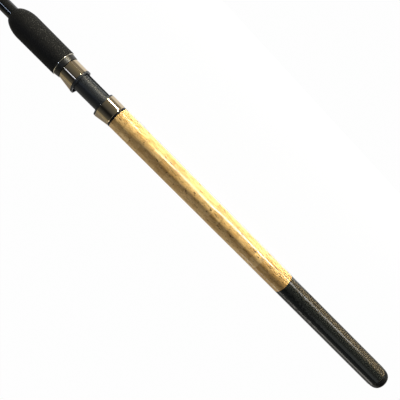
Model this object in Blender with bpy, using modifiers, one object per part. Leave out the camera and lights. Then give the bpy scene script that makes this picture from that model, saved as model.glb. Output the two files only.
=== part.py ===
# Butt section of a three-piece feeder rod, with its handle and screw-down reel seat.
#
# The rod is modelled standing on its butt: each piece's height is its distance from the flat
# end of the butt cap, and +Y is the spine, the side away from the reel. The empty rod_axis then
# lays the rod down, so that +X points out of the butt, the tip is at -X and +Z is up.

import math

import bmesh
import bpy
from mathutils import Vector

# Driving dimensions, in metres

# Gaps left between pieces that touch or slide
SEAT_GAP = 0.0003
RUNNING_GAP = 0.00035

# Blank and ferrule
SHOULDER_HEIGHT = 1.119
BLANK_BUTT_RADIUS = 0.00725
BLANK_TIP_RADIUS = 0.0062
BLANK_WALL = 0.0013
SPIGOT_LENGTH = 0.062
SPIGOT_DEPTH = 0.055
SPIGOT_TAPER = 0.00025
SPIGOT_CHAMFER = 0.0008

# Butt cap, butt grip and cork
CAP_HEIGHT = 0.0080
CAP_RADIUS = 0.0125
CAP_FLAT_RADIUS = 0.0106
CAP_STEM_LENGTH = 0.014
BUTT_GRIP_LENGTH = 0.1548
BUTT_GRIP_REAR_RADIUS = 0.01275
GRIP_RADIUS = 0.0126
CORK_RING_COUNT = 20
CORK_RING_LENGTH = 0.0125
CHECK_RING_LENGTH = 0.0022
CHECK_RING_RADIUS = 0.0127

# Reel seat
BARREL_WALL = 0.00295
DECK_WIDTH = 0.0102
KEYWAY_WIDTH = 0.0047
KEYWAY_DEPTH = 0.0012
THREAD_PITCH = 0.003
THREAD_DEPTH = 0.0009
THREAD_GROOVE_SHARE = 0.62
THREAD_FLANK_SHARE = 0.13
NUT_THREAD_TURNS = 4
HOOD_OPENS = 0.016
HOOD_CLOSES = 0.008
REAR_HOOD_LENGTH = 0.0179
FRONT_HOOD_LENGTH = 0.0184
HOOD_SPACING = 0.0304
SLEEVE_WALL = 0.00065
HOOD_FLARE = 0.0030
HOOD_POCKET_RADIUS = 0.0080
HOOD_WALL = 0.0006
HOOD_SHOULDER = 0.0006
FRONT_LIP_THICKNESS = 0.0022
REAR_LIP_THICKNESS = 0.0017
LIP_STEP = 0.0002
LIP_RIM = 0.0010
SNAP_BEAD_LENGTH = 0.0015
SNAP_BEAD_HEIGHT = 0.0007

# Foregrip
COLLAR_LENGTH = 0.0052
COLLAR_STEP = 0.0005
COLLAR_FLARE = 0.0006
COLLAR_FLANGE = 0.0013
TRIM_RING_LENGTH = 0.0012
TRIM_RING_STEP = 0.0004
FOREGRIP_LENGTH = 0.0649
FOAM_WALL = 0.0026
FOREGRIP_EDGE = 0.0007
NOSE_LENGTH = 0.0176
NOSE_FULLNESS = 0.72
NUT_WALL = 0.00105

# Line guide and whippings
GUIDE_SETBACK = 0.135
GUIDE_RING_RADIUS = 0.0145
GUIDE_WIRE_RADIUS = 0.0010
GUIDE_STRUT_RADIUS = 0.0009
GUIDE_STRUT_ANGLE = math.radians(75)
GUIDE_KNEE = 0.0020
GUIDE_STANDOFF = 0.0230
GUIDE_FOOT_LENGTH = 0.018
GUIDE_FOOT_WIDTH = 0.0028
GUIDE_FOOT_THICKNESS = 0.0011
GUIDE_FOOT_SPREAD = 0.016
LINER_RADIAL = 0.0017
LINER_LENGTH = 0.0032
WHIPPING_THICKNESS = 0.0005
WHIPPING_OVERRUN = 0.004
WHIPPING_SETBACK = 0.004
FERRULE_WHIPPING_LENGTH = 0.030

# Facets round each kind of piece
ROUND_SIDES = 32
CORK_SIDES = 20
THREAD_SIDES = 20
NOSE_STEPS = 9
DOME_STEPS = 6
CRISP_ANGLE = math.radians(30)

# Heights and radii that follow from them
butt_grip_base = CAP_HEIGHT
cork_base = butt_grip_base + BUTT_GRIP_LENGTH
check_ring_base = cork_base + CORK_RING_COUNT * CORK_RING_LENGTH
rear_hood_base = check_ring_base + CHECK_RING_LENGTH
rear_mouth = rear_hood_base + REAR_HOOD_LENGTH
front_mouth = rear_mouth + HOOD_SPACING
front_hood_end = front_mouth + FRONT_HOOD_LENGTH
collar_end = front_hood_end + COLLAR_LENGTH
foam_base = collar_end + TRIM_RING_LENGTH
barrel_bore = BLANK_BUTT_RADIUS + SEAT_GAP
barrel_radius = barrel_bore + BARREL_WALL
deck_distance = math.sqrt(barrel_radius ** 2 - (DECK_WIDTH / 2) ** 2)
hood_bore = barrel_radius + RUNNING_GAP
sleeve_radius = hood_bore + SLEEVE_WALL
hood_radius = sleeve_radius + SEAT_GAP + HOOD_WALL
mouth_reach = hood_radius + HOOD_FLARE
tail_radius = sleeve_radius - SEAT_GAP
bead_radius = tail_radius + SNAP_BEAD_HEIGHT
nut_bore = barrel_radius + RUNNING_GAP
nut_radius = nut_bore + NUT_WALL
collar_rear_radius = hood_radius + COLLAR_STEP
collar_front_radius = collar_rear_radius + COLLAR_FLARE
trim_ring_radius = collar_front_radius + TRIM_RING_STEP
foregrip_radius = nut_radius + FOAM_WALL
nut_base = collar_end - COLLAR_LENGTH + COLLAR_FLANGE + SNAP_BEAD_LENGTH + 3 * SEAT_GAP
thread_base = nut_base + THREAD_PITCH / 2 - HOOD_CLOSES - THREAD_PITCH
nut_thread_base = thread_base + math.ceil((nut_base - thread_base) / THREAD_PITCH) * THREAD_PITCH
barrel_end = nut_thread_base + (NUT_THREAD_TURNS + 1) * THREAD_PITCH + HOOD_OPENS
nut_end = barrel_end + HOOD_CLOSES + RUNNING_GAP
shoulder_bore = BLANK_TIP_RADIUS - BLANK_WALL
guide_height = SHOULDER_HEIGHT - GUIDE_SETBACK


def blank_radius(height):
    """Outer radius of the blank: parallel under the grips, then an even taper to the ferrule."""
    share = max(0.0, height - rear_hood_base) / (SHOULDER_HEIGHT - rear_hood_base)
    return BLANK_BUTT_RADIUS + share * (BLANK_TIP_RADIUS - BLANK_BUTT_RADIUS)


guide_offset = blank_radius(guide_height) + GUIDE_STANDOFF


# Start from an empty scene
for old in list(bpy.data.objects):
    bpy.data.objects.remove(old, do_unlink=True)

rod = bpy.data.collections.new("feeder_rod")
cutters = bpy.data.collections.new("cutters")
bpy.context.scene.collection.children.link(rod)
bpy.context.scene.collection.children.link(cutters)


# Finishes
def finish(name, colour, roughness, metallic=0.0):
    material = bpy.data.materials.new(name)
    material.use_nodes = True
    material.diffuse_color = (*colour, 1.0)
    shader = material.node_tree.nodes["Principled BSDF"]
    shader.inputs["Base Color"].default_value = (*colour, 1.0)
    shader.inputs["Roughness"].default_value = roughness
    shader.inputs["Metallic"].default_value = metallic
    return material


carbon = finish("lacquered_carbon", (0.012, 0.013, 0.016), 0.18)
foam = finish("black_foam", (0.020, 0.019, 0.016), 0.85)
cork = finish("lacquered_cork", (0.58, 0.38, 0.17), 0.35)
black_grip = finish("glossy_black_grip", (0.020, 0.020, 0.022), 0.25)
black_rubber = finish("black_rubber", (0.018, 0.018, 0.019), 0.55)
black_plastic = finish("satin_black_plastic", (0.022, 0.023, 0.026), 0.40)
dark_chrome = finish("dark_chrome", (0.30, 0.27, 0.22), 0.12, 1.0)
black_anodised = finish("black_anodised", (0.045, 0.044, 0.042), 0.35, 1.0)
bright_metal = finish("bright_metal", (0.80, 0.76, 0.66), 0.15, 1.0)
ceramic = finish("grey_ceramic", (0.08, 0.085, 0.09), 0.20)
whipping = finish("lacquered_thread", (0.015, 0.015, 0.017), 0.22)


# Empties: the rod's axis, and the two moving bodies on it
def axis_empty(name, parent, height):
    empty = bpy.data.objects.new(name, None)
    empty.empty_display_size = 0.02
    empty.parent = parent
    empty["height"] = height
    empty.location.z = height - (parent["height"] if parent else 0.0)
    rod.objects.link(empty)
    return empty


rod_axis = axis_empty("rod_axis", None, 0.0)
rod_axis.rotation_euler.y = -math.pi / 2
hood_slide = axis_empty("hood_slide", rod_axis, front_mouth)
foregrip_turn = axis_empty("foregrip_turn", hood_slide, nut_base)


# Modelling helpers
def place(piece, parent, height, material=None):
    """Stand a piece on the rod's axis at a height. Without a material it is a cutter."""
    piece.parent = parent
    piece.location.z = height - parent["height"]
    if material:
        piece.data.materials.append(material)
        rod.objects.link(piece)
    else:
        piece.hide_render = True
        piece.display_type = "WIRE"
        cutters.objects.link(piece)
    return piece


def turned(name, outline, parent, height, material=None, sides=ROUND_SIDES):
    """Turn an outline of (radius, height) points, which runs down its outer side."""
    edges = [(i, i + 1) for i in range(len(outline) - 1)]
    if outline[0][0] > 0.0:
        edges.append((len(outline) - 1, 0))
    mesh = bpy.data.meshes.new(name)
    mesh.from_pydata([(radius, 0.0, level) for radius, level in outline], edges, [])
    piece = bpy.data.objects.new(name, mesh)
    screw = piece.modifiers.new("Turn", "SCREW")
    screw.steps = sides
    screw.render_steps = sides
    screw.use_merge_vertices = True
    screw.merge_threshold = 0.00001
    piece.rotation_euler.z = math.pi / sides
    return place(piece, parent, height, material)


def tube(name, bore, radius, length, parent, height, material=None, sides=ROUND_SIDES):
    outline = [(radius, length), (radius, 0.0), (bore, 0.0), (bore, length)]
    return turned(name, outline, parent, height, material, sides)


def rod_of(name, radius, length, parent, height, sides=ROUND_SIDES):
    outline = [(0.0, length), (radius, length), (radius, 0.0), (0.0, 0.0)]
    return turned(name, outline, parent, height, None, sides)


def block(name, low, high, parent):
    """A box cutter from its low corner to its high corner, in the upright rod's own axes."""
    mesh = bpy.data.meshes.new(name)
    shape = bmesh.new()
    bmesh.ops.create_cube(shape, size=1.0)
    size = Vector(high) - Vector(low)
    bmesh.ops.scale(shape, vec=size, verts=shape.verts)
    bmesh.ops.translate(shape, vec=(Vector(low) + Vector(high)) / 2, verts=shape.verts)
    shape.to_mesh(mesh)
    shape.free()
    return place(bpy.data.objects.new(name, mesh), parent, parent["height"])


def hood_loop(radius, reach, lobe, level, count=ROUND_SIDES):
    """Round a circle and a lobe that reaches to the reel side, as a band pulled tight."""
    loop = []
    for i in range(count):
        angle = 2 * math.pi * (i + 0.5) / count
        out = Vector((math.cos(angle), math.sin(angle), 0.0))
        offset = Vector((0.0, min(0.0, lobe - reach), 0.0))
        on_lobe = lobe + out.dot(offset) > radius
        spot = offset + out * lobe if on_lobe else out * radius
        loop.append(spot + Vector((0.0, 0.0, level)))
    return loop


def skin(name, loops, capped, parent, height, material=None):
    """Skin a stack of loops, from the lowest up, with flat ends if capped."""
    mesh = bpy.data.meshes.new(name)
    shape = bmesh.new()
    rings = [[shape.verts.new(spot) for spot in loop] for loop in loops]
    for low, high in zip(rings, rings[1:]):
        for i in range(len(low)):
            j = (i + 1) % len(low)
            shape.faces.new((low[i], low[j], high[j], high[i]))
    if capped:
        shape.faces.new(rings[0][::-1])
        shape.faces.new(rings[-1])
    shape.to_mesh(mesh)
    shape.free()
    return place(bpy.data.objects.new(name, mesh), parent, height, material)


def boolean(piece, operation, other):
    step = piece.modifiers.new(other.name, "BOOLEAN")
    step.operation = operation
    step.object = other


def as_mesh(source, name):
    """Replace a curve or a swept outline by its mesh, with its open ends closed."""
    bpy.context.view_layer.update()
    graph = bpy.context.evaluated_depsgraph_get()
    mesh = bpy.data.meshes.new_from_object(source.evaluated_get(graph))
    shape = bmesh.new()
    shape.from_mesh(mesh)
    bmesh.ops.remove_doubles(shape, verts=shape.verts, dist=0.000001)
    bmesh.ops.holes_fill(shape, edges=[edge for edge in shape.edges if edge.is_boundary], sides=0)
    bmesh.ops.recalc_face_normals(shape, faces=shape.faces)
    shape.to_mesh(mesh)
    shape.free()
    result = bpy.data.objects.new(name, mesh)
    result.parent = source.parent
    result.location = source.location
    result.rotation_euler = source.rotation_euler
    bpy.data.objects.remove(source)
    return result


def helix(name, section, turns, parent, height):
    """A right-hand thread form: a closed section of (radius, height) points, wound up the axis."""
    mesh = bpy.data.meshes.new(name)
    count = len(section)
    edges = [(i, (i + 1) % count) for i in range(count)]
    mesh.from_pydata([(radius, 0.0, level) for radius, level in section], edges, [])
    swept = bpy.data.objects.new(name + "_swept", mesh)
    screw = swept.modifiers.new("Wind", "SCREW")
    screw.steps = THREAD_SIDES
    screw.render_steps = THREAD_SIDES
    screw.iterations = turns
    screw.screw_offset = THREAD_PITCH
    swept.rotation_euler.z = math.pi / THREAD_SIDES
    place(swept, parent, height)
    result = as_mesh(swept, name)
    result.hide_render = True
    result.display_type = "WIRE"
    cutters.objects.link(result)
    return result


def wire(name, spots, radius, parent, cyclic=False):
    """A round wire through spots in the upright rod's own axes."""
    curve = bpy.data.curves.new(name, "CURVE")
    curve.dimensions = "3D"
    curve.bevel_depth = radius
    curve.bevel_resolution = 2
    curve.use_fill_caps = not cyclic
    path = curve.splines.new("POLY")
    path.points.add(len(spots) - 1)
    for point, spot in zip(path.points, spots):
        point.co = (*spot, 1.0)
    path.use_cyclic_u = cyclic
    drawn = place(bpy.data.objects.new(name + "_path", curve), parent, parent["height"])
    return as_mesh(drawn, name)


# Blank: one hollow tapered tube from the butt cap to the ferrule's shoulder
def make_blank():
    base = CAP_HEIGHT + SEAT_GAP
    bore = BLANK_BUTT_RADIUS - BLANK_WALL
    length = SHOULDER_HEIGHT - base
    taper = rear_hood_base - base
    outline = [
        (BLANK_TIP_RADIUS, length),
        (BLANK_BUTT_RADIUS, taper),
        (BLANK_BUTT_RADIUS, 0.0),
        (bore, 0.0),
        (bore, taper),
        (shoulder_bore, length),
    ]
    turned("butt_blank", outline, rod_axis, base, carbon)


# Ferrule: a spigot glued into the blank's end, and the whipping that keeps it from splitting
def make_ferrule():
    root = shoulder_bore - SEAT_GAP
    tip = root - SPIGOT_TAPER
    length = SPIGOT_DEPTH + SPIGOT_LENGTH
    outline = [
        (0.0, length),
        (tip - SPIGOT_CHAMFER, length),
        (tip, length - SPIGOT_CHAMFER),
        (root, SPIGOT_DEPTH),
        (root, 0.0),
        (0.0, 0.0),
    ]
    turned("ferrule_spigot", outline, rod_axis, SHOULDER_HEIGHT - SPIGOT_DEPTH, carbon)
    base = SHOULDER_HEIGHT - FERRULE_WHIPPING_LENGTH - SEAT_GAP
    top = base + FERRULE_WHIPPING_LENGTH
    low_bore = blank_radius(base) + SEAT_GAP
    high_bore = blank_radius(top) + SEAT_GAP
    edge = WHIPPING_THICKNESS
    outline = [
        (high_bore + edge / 2, top - base),
        (high_bore + edge, top - base - edge),
        (low_bore + edge, 3 * edge),
        (low_bore + edge / 4, 0.0),
        (low_bore, 0.0),
        (high_bore, top - base),
    ]
    turned("ferrule_whipping", outline, rod_axis, base, whipping)


# Butt cap: a blunt dome with a flat end, and a stem that plugs the blank
def make_butt_cap():
    stem = BLANK_BUTT_RADIUS - BLANK_WALL - SEAT_GAP
    top = CAP_HEIGHT + CAP_STEM_LENGTH
    outline = [(0.0, top), (stem, top), (stem, CAP_HEIGHT)]
    for i in range(DOME_STEPS + 1):
        angle = math.pi / 2 * i / DOME_STEPS
        radius = CAP_FLAT_RADIUS + (CAP_RADIUS - CAP_FLAT_RADIUS) * math.cos(angle)
        outline.append((radius, CAP_HEIGHT * (1 - math.sin(angle))))
    outline.append((0.0, 0.0))
    turned("butt_cap", outline, rod_axis, 0.0, black_rubber)


# Rear handle: a turned black grip, then the cork, built up from glued rings
def make_rear_handle():
    bore = BLANK_BUTT_RADIUS + SEAT_GAP
    length = BUTT_GRIP_LENGTH - SEAT_GAP
    outline = [(GRIP_RADIUS, length), (BUTT_GRIP_REAR_RADIUS, 0.0), (bore, 0.0), (bore, length)]
    turned("butt_grip", outline, rod_axis, butt_grip_base + SEAT_GAP, black_grip)
    for i in range(CORK_RING_COUNT):
        height = cork_base + i * CORK_RING_LENGTH + SEAT_GAP
        length = CORK_RING_LENGTH - SEAT_GAP
        tube(f"cork_ring_{i + 1:02d}", bore, GRIP_RADIUS, length, rod_axis, height, cork, CORK_SIDES)
    height = check_ring_base + SEAT_GAP
    length = CHECK_RING_LENGTH - SEAT_GAP
    tube("seat_check_ring", bore, CHECK_RING_RADIUS, length, rod_axis, height, black_rubber)


# Seat barrel: a moulded pipe with a flat deck, a keyway on the spine and a coarse thread
def make_seat_barrel():
    base = rear_hood_base + SEAT_GAP
    barrel = tube(
        "seat_barrel", barrel_bore, barrel_radius, barrel_end - base,
        rod_axis, base, black_plastic, THREAD_SIDES,
    )
    past = THREAD_DEPTH
    groove_out = barrel_radius + past
    groove_in = barrel_radius - THREAD_DEPTH
    flank = THREAD_PITCH * THREAD_FLANK_SHARE
    wide = THREAD_PITCH * THREAD_GROOVE_SHARE / 2
    section = [
        (groove_out, wide + flank),
        (groove_out, -wide - flank),
        (groove_in, -wide + flank),
        (groove_in, wide - flank),
    ]
    turns = math.ceil((barrel_end - thread_base) / THREAD_PITCH) + 1
    boolean(barrel, "DIFFERENCE", helix("thread_groove", section, turns, rod_axis, thread_base))
    wide = 2 * barrel_radius
    low = (-wide, -wide, base - past)
    high = (wide, -deck_distance, barrel_end + past)
    boolean(barrel, "DIFFERENCE", block("deck_cut", low, high, rod_axis))
    low = (-KEYWAY_WIDTH / 2, barrel_radius - KEYWAY_DEPTH, rear_mouth - HOOD_SHOULDER)
    high = (KEYWAY_WIDTH / 2, wide, barrel_end + past)
    boolean(barrel, "DIFFERENCE", block("keyway_cut", low, high, rod_axis))


def hood_shell(name, length, hole, mouth_up, parent, height):
    """A pressed hood: round at its closed end, with a lobe for the reel's foot at its mouth."""
    lobe = HOOD_POCKET_RADIUS
    inset = HOOD_SHOULDER
    mouth = hood_loop(hood_radius, mouth_reach, lobe, 0.0)
    closed = hood_loop(hood_radius, hood_radius, lobe, length - inset)
    crown = hood_loop(hood_radius - inset / 2, hood_radius, lobe, length)
    rim = hood_loop(hole, hole, hole, length)
    loops = [mouth, closed, crown, rim]
    if mouth_up:
        loops = [[Vector((spot.x, spot.y, length - spot.z)) for spot in loop] for loop in loops[::-1]]
    shell = skin(name, loops, False, parent, height, dark_chrome)
    wall = shell.modifiers.new("Wall", "SOLIDIFY")
    wall.thickness = HOOD_WALL
    wall.offset = -1.0
    wall.use_even_offset = True
    return shell


def hood_liner(name, length, lip, sleeve, mouth_up, parent, height):
    """A moulded liner: a lip over the shell's mouth, and a sleeve that runs on the barrel."""
    reach = mouth_reach + LIP_STEP
    lip_base = length - lip if mouth_up else 0.0
    levels = (lip_base, lip_base + lip)
    loops = [hood_loop(hood_radius + LIP_STEP, reach, HOOD_POCKET_RADIUS + LIP_STEP, z) for z in levels]
    liner = skin(name, loops, True, parent, height, black_plastic)
    boolean(liner, "UNION", turned(name + "_sleeve", sleeve, parent, height))
    past = lip
    pocket_radius = HOOD_POCKET_RADIUS - HOOD_WALL
    mouth_level, closed_level = (length + past, 0.0) if mouth_up else (-past, length)
    deep = hood_radius - HOOD_WALL / 2
    wide = deep + (reach - LIP_RIM - deep) * (length + past) / length
    loops = [
        hood_loop(0.0, deep, pocket_radius, closed_level),
        hood_loop(0.0, wide, pocket_radius, mouth_level),
    ]
    loops.sort(key=lambda loop: loop[0].z)
    boolean(liner, "DIFFERENCE", skin(name + "_pocket", loops, True, parent, height))
    top = max(level for radius, level in sleeve)
    bore = rod_of(name + "_bore", hood_bore, top + 2 * past, parent, height - past)
    boolean(liner, "DIFFERENCE", bore)
    return liner


# Rear hood: fixed, and open towards the tip
def make_rear_hood():
    base = rear_hood_base + SEAT_GAP
    length = REAR_HOOD_LENGTH - SEAT_GAP
    hood_shell("rear_hood_shell", length - REAR_LIP_THICKNESS - SEAT_GAP, hood_bore, True, rod_axis, base)
    level = HOOD_WALL + SEAT_GAP
    inside_lip = length - REAR_LIP_THICKNESS / 2
    sleeve = [(0.0, inside_lip), (sleeve_radius, inside_lip), (sleeve_radius, level), (0.0, level)]
    hood_liner("rear_hood_liner", length, REAR_LIP_THICKNESS, sleeve, True, rod_axis, base)


# Front hood: keyed to the barrel, and snapped into the foregrip's collar by a bead
def make_front_hood():
    shell_base = front_mouth + FRONT_LIP_THICKNESS + SEAT_GAP
    length = FRONT_HOOD_LENGTH - SEAT_GAP
    shell_length = front_mouth + length - shell_base
    hood_shell("front_hood_shell", shell_length, tail_radius + SEAT_GAP, False, hood_slide, shell_base)
    turn = length - HOOD_WALL - SEAT_GAP
    bead_base = length + 2 * SEAT_GAP + COLLAR_FLANGE
    bead_top = bead_base + SNAP_BEAD_LENGTH
    sleeve = [
        (0.0, bead_top),
        (tail_radius, bead_top),
        (bead_radius, bead_top - SNAP_BEAD_HEIGHT),
        (bead_radius, bead_base),
        (tail_radius, bead_base),
        (tail_radius, turn),
        (sleeve_radius, turn),
        (sleeve_radius, FRONT_LIP_THICKNESS / 2),
        (0.0, FRONT_LIP_THICKNESS / 2),
    ]
    lip = FRONT_LIP_THICKNESS
    liner = hood_liner("front_hood_liner", length, lip, sleeve, False, hood_slide, front_mouth)
    key_half = KEYWAY_WIDTH / 2 - SEAT_GAP
    key_low = barrel_radius - KEYWAY_DEPTH + SEAT_GAP
    low = (-key_half, key_low, FRONT_LIP_THICKNESS / 2)
    high = (key_half, (hood_bore + sleeve_radius) / 2, turn - SEAT_GAP)
    boolean(liner, "UNION", block("hood_key", low, high, hood_slide))


# Foregrip: a threaded sleeve with a collar and a trim ring, in a foam grip that turns with it
def make_foregrip():
    nut = tube(
        "lock_nut", nut_bore, nut_radius, nut_end - nut_base,
        foregrip_turn, nut_base, black_plastic, THREAD_SIDES,
    )
    flank = THREAD_PITCH * THREAD_FLANK_SHARE
    tooth_in = barrel_radius - THREAD_DEPTH + RUNNING_GAP
    tooth_out = nut_bore + NUT_WALL / 2
    slope = flank / THREAD_DEPTH
    wide = THREAD_PITCH * THREAD_GROOVE_SHARE / 2 - RUNNING_GAP
    narrow_half = wide - slope * (barrel_radius - tooth_in)
    wide_half = wide + slope * (tooth_out - barrel_radius)
    section = [
        (tooth_out, wide_half),
        (tooth_out, -wide_half),
        (tooth_in, -narrow_half),
        (tooth_in, narrow_half),
    ]
    tooth_base = nut_thread_base + THREAD_PITCH
    boolean(nut, "UNION", helix("nut_tooth", section, NUT_THREAD_TURNS - 1, foregrip_turn, tooth_base))

    collar_base = front_hood_end
    groove = COLLAR_FLANGE
    outline = [
        (collar_front_radius, COLLAR_LENGTH - SEAT_GAP),
        (collar_rear_radius, 0.0),
        (tail_radius + RUNNING_GAP, 0.0),
        (tail_radius + RUNNING_GAP, groove),
        (nut_radius + RUNNING_GAP, groove),
        (nut_radius + RUNNING_GAP, COLLAR_LENGTH - SEAT_GAP),
    ]
    turned("nut_collar", outline, foregrip_turn, collar_base, black_anodised)

    bore = nut_radius + SEAT_GAP
    length = TRIM_RING_LENGTH - SEAT_GAP
    tube("nut_trim_ring", bore, trim_ring_radius, length, foregrip_turn, collar_end, bright_metal)

    nose_bore = blank_radius(barrel_end) + RUNNING_GAP
    step = nut_end - foam_base + SEAT_GAP
    nose_base = FOREGRIP_LENGTH - NOSE_LENGTH
    nose_tip = nose_bore + FOREGRIP_EDGE / 2
    outline = [(nose_tip, FOREGRIP_LENGTH)]
    for i in range(NOSE_STEPS - 1, -1, -1):
        share = math.sin(math.pi / 2 * i / NOSE_STEPS)
        radius = nose_tip + (foregrip_radius - nose_tip) * (1 - share ** 2) ** NOSE_FULLNESS
        outline.append((radius, nose_base + NOSE_LENGTH * share))
    outline += [
        (foregrip_radius, FOREGRIP_EDGE),
        (foregrip_radius - FOREGRIP_EDGE, 0.0),
        (bore, 0.0),
        (bore, step),
        (nose_bore, step),
        (nose_bore, FOREGRIP_LENGTH),
    ]
    turned("foregrip_foam", outline, foregrip_turn, foam_base, foam)


# Line guide: a wire frame on two feet, with a ceramic ring in it
def make_guide():
    blank = blank_radius(guide_height - GUIDE_FOOT_SPREAD)
    hoop_radius = GUIDE_RING_RADIUS - GUIDE_WIRE_RADIUS
    foot_under = -blank - SEAT_GAP
    foot_over = foot_under - GUIDE_FOOT_THICKNESS
    foot_half = GUIDE_FOOT_WIDTH / 2
    hoop = []
    for i in range(CORK_SIDES):
        angle = 2 * math.pi * (i + 0.5) / CORK_SIDES
        side = hoop_radius * math.sin(angle)
        out = -guide_offset + hoop_radius * math.cos(angle)
        hoop.append((side, out, guide_height))
    frame = wire("guide_frame", hoop, GUIDE_WIRE_RADIUS, rod_axis, cyclic=True)
    frame.data.materials.append(dark_chrome)
    rod.objects.link(frame)

    feet = {}
    for name, turn in (("rear", -1), ("front", 1)):
        near = guide_height + turn * GUIDE_FOOT_SPREAD
        far = near + turn * GUIDE_FOOT_LENGTH
        low = (-foot_half, foot_over, min(near, far))
        high = (foot_half, foot_under, max(near, far))
        feet[name] = (near, low, high)
        boolean(frame, "UNION", block("guide_foot_" + name, low, high, rod_axis))

    mid = (foot_over + foot_under) / 2
    root = (0.0, mid, feet["front"][0] + GUIDE_WIRE_RADIUS)
    knee = (0.0, mid - GUIDE_KNEE, feet["front"][0] - GUIDE_KNEE)
    top = (0.0, hoop_radius - guide_offset, guide_height)
    struts = [("front_strut", [root, knee, top])]
    for name, side in (("left_strut", -1), ("right_strut", 1)):
        sideways = side * hoop_radius * math.sin(GUIDE_STRUT_ANGLE)
        out = hoop_radius * math.cos(GUIDE_STRUT_ANGLE) - guide_offset
        root = (side * foot_half / 3, mid, feet["rear"][0] - GUIDE_WIRE_RADIUS)
        knee = (side * foot_half, mid - GUIDE_KNEE, feet["rear"][0] + GUIDE_KNEE)
        struts.append((name, [root, knee, (sideways, out, guide_height)]))
    for name, spots in struts:
        strut = wire(name, spots, GUIDE_STRUT_RADIUS, rod_axis)
        strut.hide_render = True
        strut.display_type = "WIRE"
        cutters.objects.link(strut)
        boolean(frame, "UNION", strut)

    outer = hoop_radius - GUIDE_WIRE_RADIUS - SEAT_GAP
    inner = outer - LINER_RADIAL
    half = LINER_LENGTH / 2
    edge = LINER_RADIAL / 3
    outline = [
        (outer - edge, half),
        (outer, half - edge),
        (outer, edge - half),
        (outer - edge, -half),
        (inner + edge, -half),
        (inner, edge - half),
        (inner, half - edge),
        (inner + edge, half),
    ]
    liner = turned("guide_ring", outline, rod_axis, guide_height, ceramic, CORK_SIDES)
    liner.location.y = -guide_offset

    for name, turn in (("rear", -1), ("front", 1)):
        near, low, high = feet[name]
        make_foot_whipping(name, near + turn * WHIPPING_SETBACK, turn, low, high)


def make_foot_whipping(name, near, turn, low, high):
    """Lacquered thread over one foot of the guide, running out onto the bare blank."""
    far = near + turn * (GUIDE_FOOT_LENGTH - WHIPPING_SETBACK + WHIPPING_OVERRUN)
    foot_end = far - turn * WHIPPING_OVERRUN
    bare = blank_radius(min(near, far)) + SEAT_GAP
    lobe = GUIDE_FOOT_WIDTH
    reach = -low[1] + SEAT_GAP + 2 * WHIPPING_THICKNESS
    round_wall = bare + WHIPPING_THICKNESS
    loops = [
        hood_loop(round_wall, reach, lobe, near),
        hood_loop(round_wall, reach, lobe, foot_end),
        hood_loop(round_wall, round_wall, lobe, far),
    ]
    loops.sort(key=lambda loop: loop[0].z)
    wrap = skin("guide_whipping_" + name, loops, True, rod_axis, 0.0, whipping)
    past = WHIPPING_OVERRUN
    cut = rod_of(f"whipping_bore_{name}", bare, abs(far - near) + 2 * past, rod_axis, min(near, far) - past)
    boolean(wrap, "DIFFERENCE", cut)
    foot_low = (low[0] - SEAT_GAP, low[1] - SEAT_GAP, low[2] - SEAT_GAP)
    foot_high = (high[0] + SEAT_GAP, 0.0, high[2] + SEAT_GAP)
    boolean(wrap, "DIFFERENCE", block(f"whipping_foot_{name}", foot_low, foot_high, rod_axis))


make_blank()
make_ferrule()
make_butt_cap()
make_rear_handle()
make_seat_barrel()
make_rear_hood()
make_front_hood()
make_foregrip()
make_guide()

# Settle each piece's modifiers, then shade its round faces smooth and keep its edges crisp
bpy.context.view_layer.update()
graph = bpy.context.evaluated_depsgraph_get()
for piece in rod.objects:
    if piece.type == "MESH":
        settled = bpy.data.meshes.new_from_object(piece.evaluated_get(graph))
        piece.modifiers.clear()
        piece.data = settled
        settled.shade_smooth()
        settled.set_sharp_from_angle(angle=CRISP_ANGLE)
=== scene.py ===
# Feeder rod, butt section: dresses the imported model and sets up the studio
# A distance along the rod is counted from the butt cap's flat end, so it lies at x = -distance
import math

import bmesh
import bpy
from mathutils import Matrix, Vector


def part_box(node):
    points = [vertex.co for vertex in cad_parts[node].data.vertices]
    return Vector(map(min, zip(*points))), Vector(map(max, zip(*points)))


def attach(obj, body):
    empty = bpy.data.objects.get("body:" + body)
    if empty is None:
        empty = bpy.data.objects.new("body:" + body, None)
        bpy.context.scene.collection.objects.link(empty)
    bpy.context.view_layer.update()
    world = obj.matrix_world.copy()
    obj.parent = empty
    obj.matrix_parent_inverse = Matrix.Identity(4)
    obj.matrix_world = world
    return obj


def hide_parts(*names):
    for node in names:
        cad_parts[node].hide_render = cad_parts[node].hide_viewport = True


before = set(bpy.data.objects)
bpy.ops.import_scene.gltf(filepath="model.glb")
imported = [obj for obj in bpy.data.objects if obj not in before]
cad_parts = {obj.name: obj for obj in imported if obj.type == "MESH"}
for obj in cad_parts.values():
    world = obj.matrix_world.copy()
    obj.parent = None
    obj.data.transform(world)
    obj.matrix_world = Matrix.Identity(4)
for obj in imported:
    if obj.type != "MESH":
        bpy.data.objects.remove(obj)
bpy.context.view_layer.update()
bpy.ops.object.select_all(action="DESELECT")
print("frame loaded:", len(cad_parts), "nodes")


# Shader maths: a socket that can stand in a sum
class Signal:
    def __init__(self, sheet, socket):
        self.sheet = sheet
        self.socket = socket

    def __add__(self, other):
        return self.sheet.maths("ADD", self, other)

    __radd__ = __add__

    def __sub__(self, other):
        return self.sheet.maths("SUBTRACT", self, other)

    def __rsub__(self, other):
        return self.sheet.maths("SUBTRACT", other, self)

    def __mul__(self, other):
        return self.sheet.maths("MULTIPLY", self, other)

    __rmul__ = __mul__

    def __truediv__(self, other):
        return self.sheet.maths("DIVIDE", self, other)

    def __rtruediv__(self, other):
        return self.sheet.maths("DIVIDE", other, self)


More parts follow.
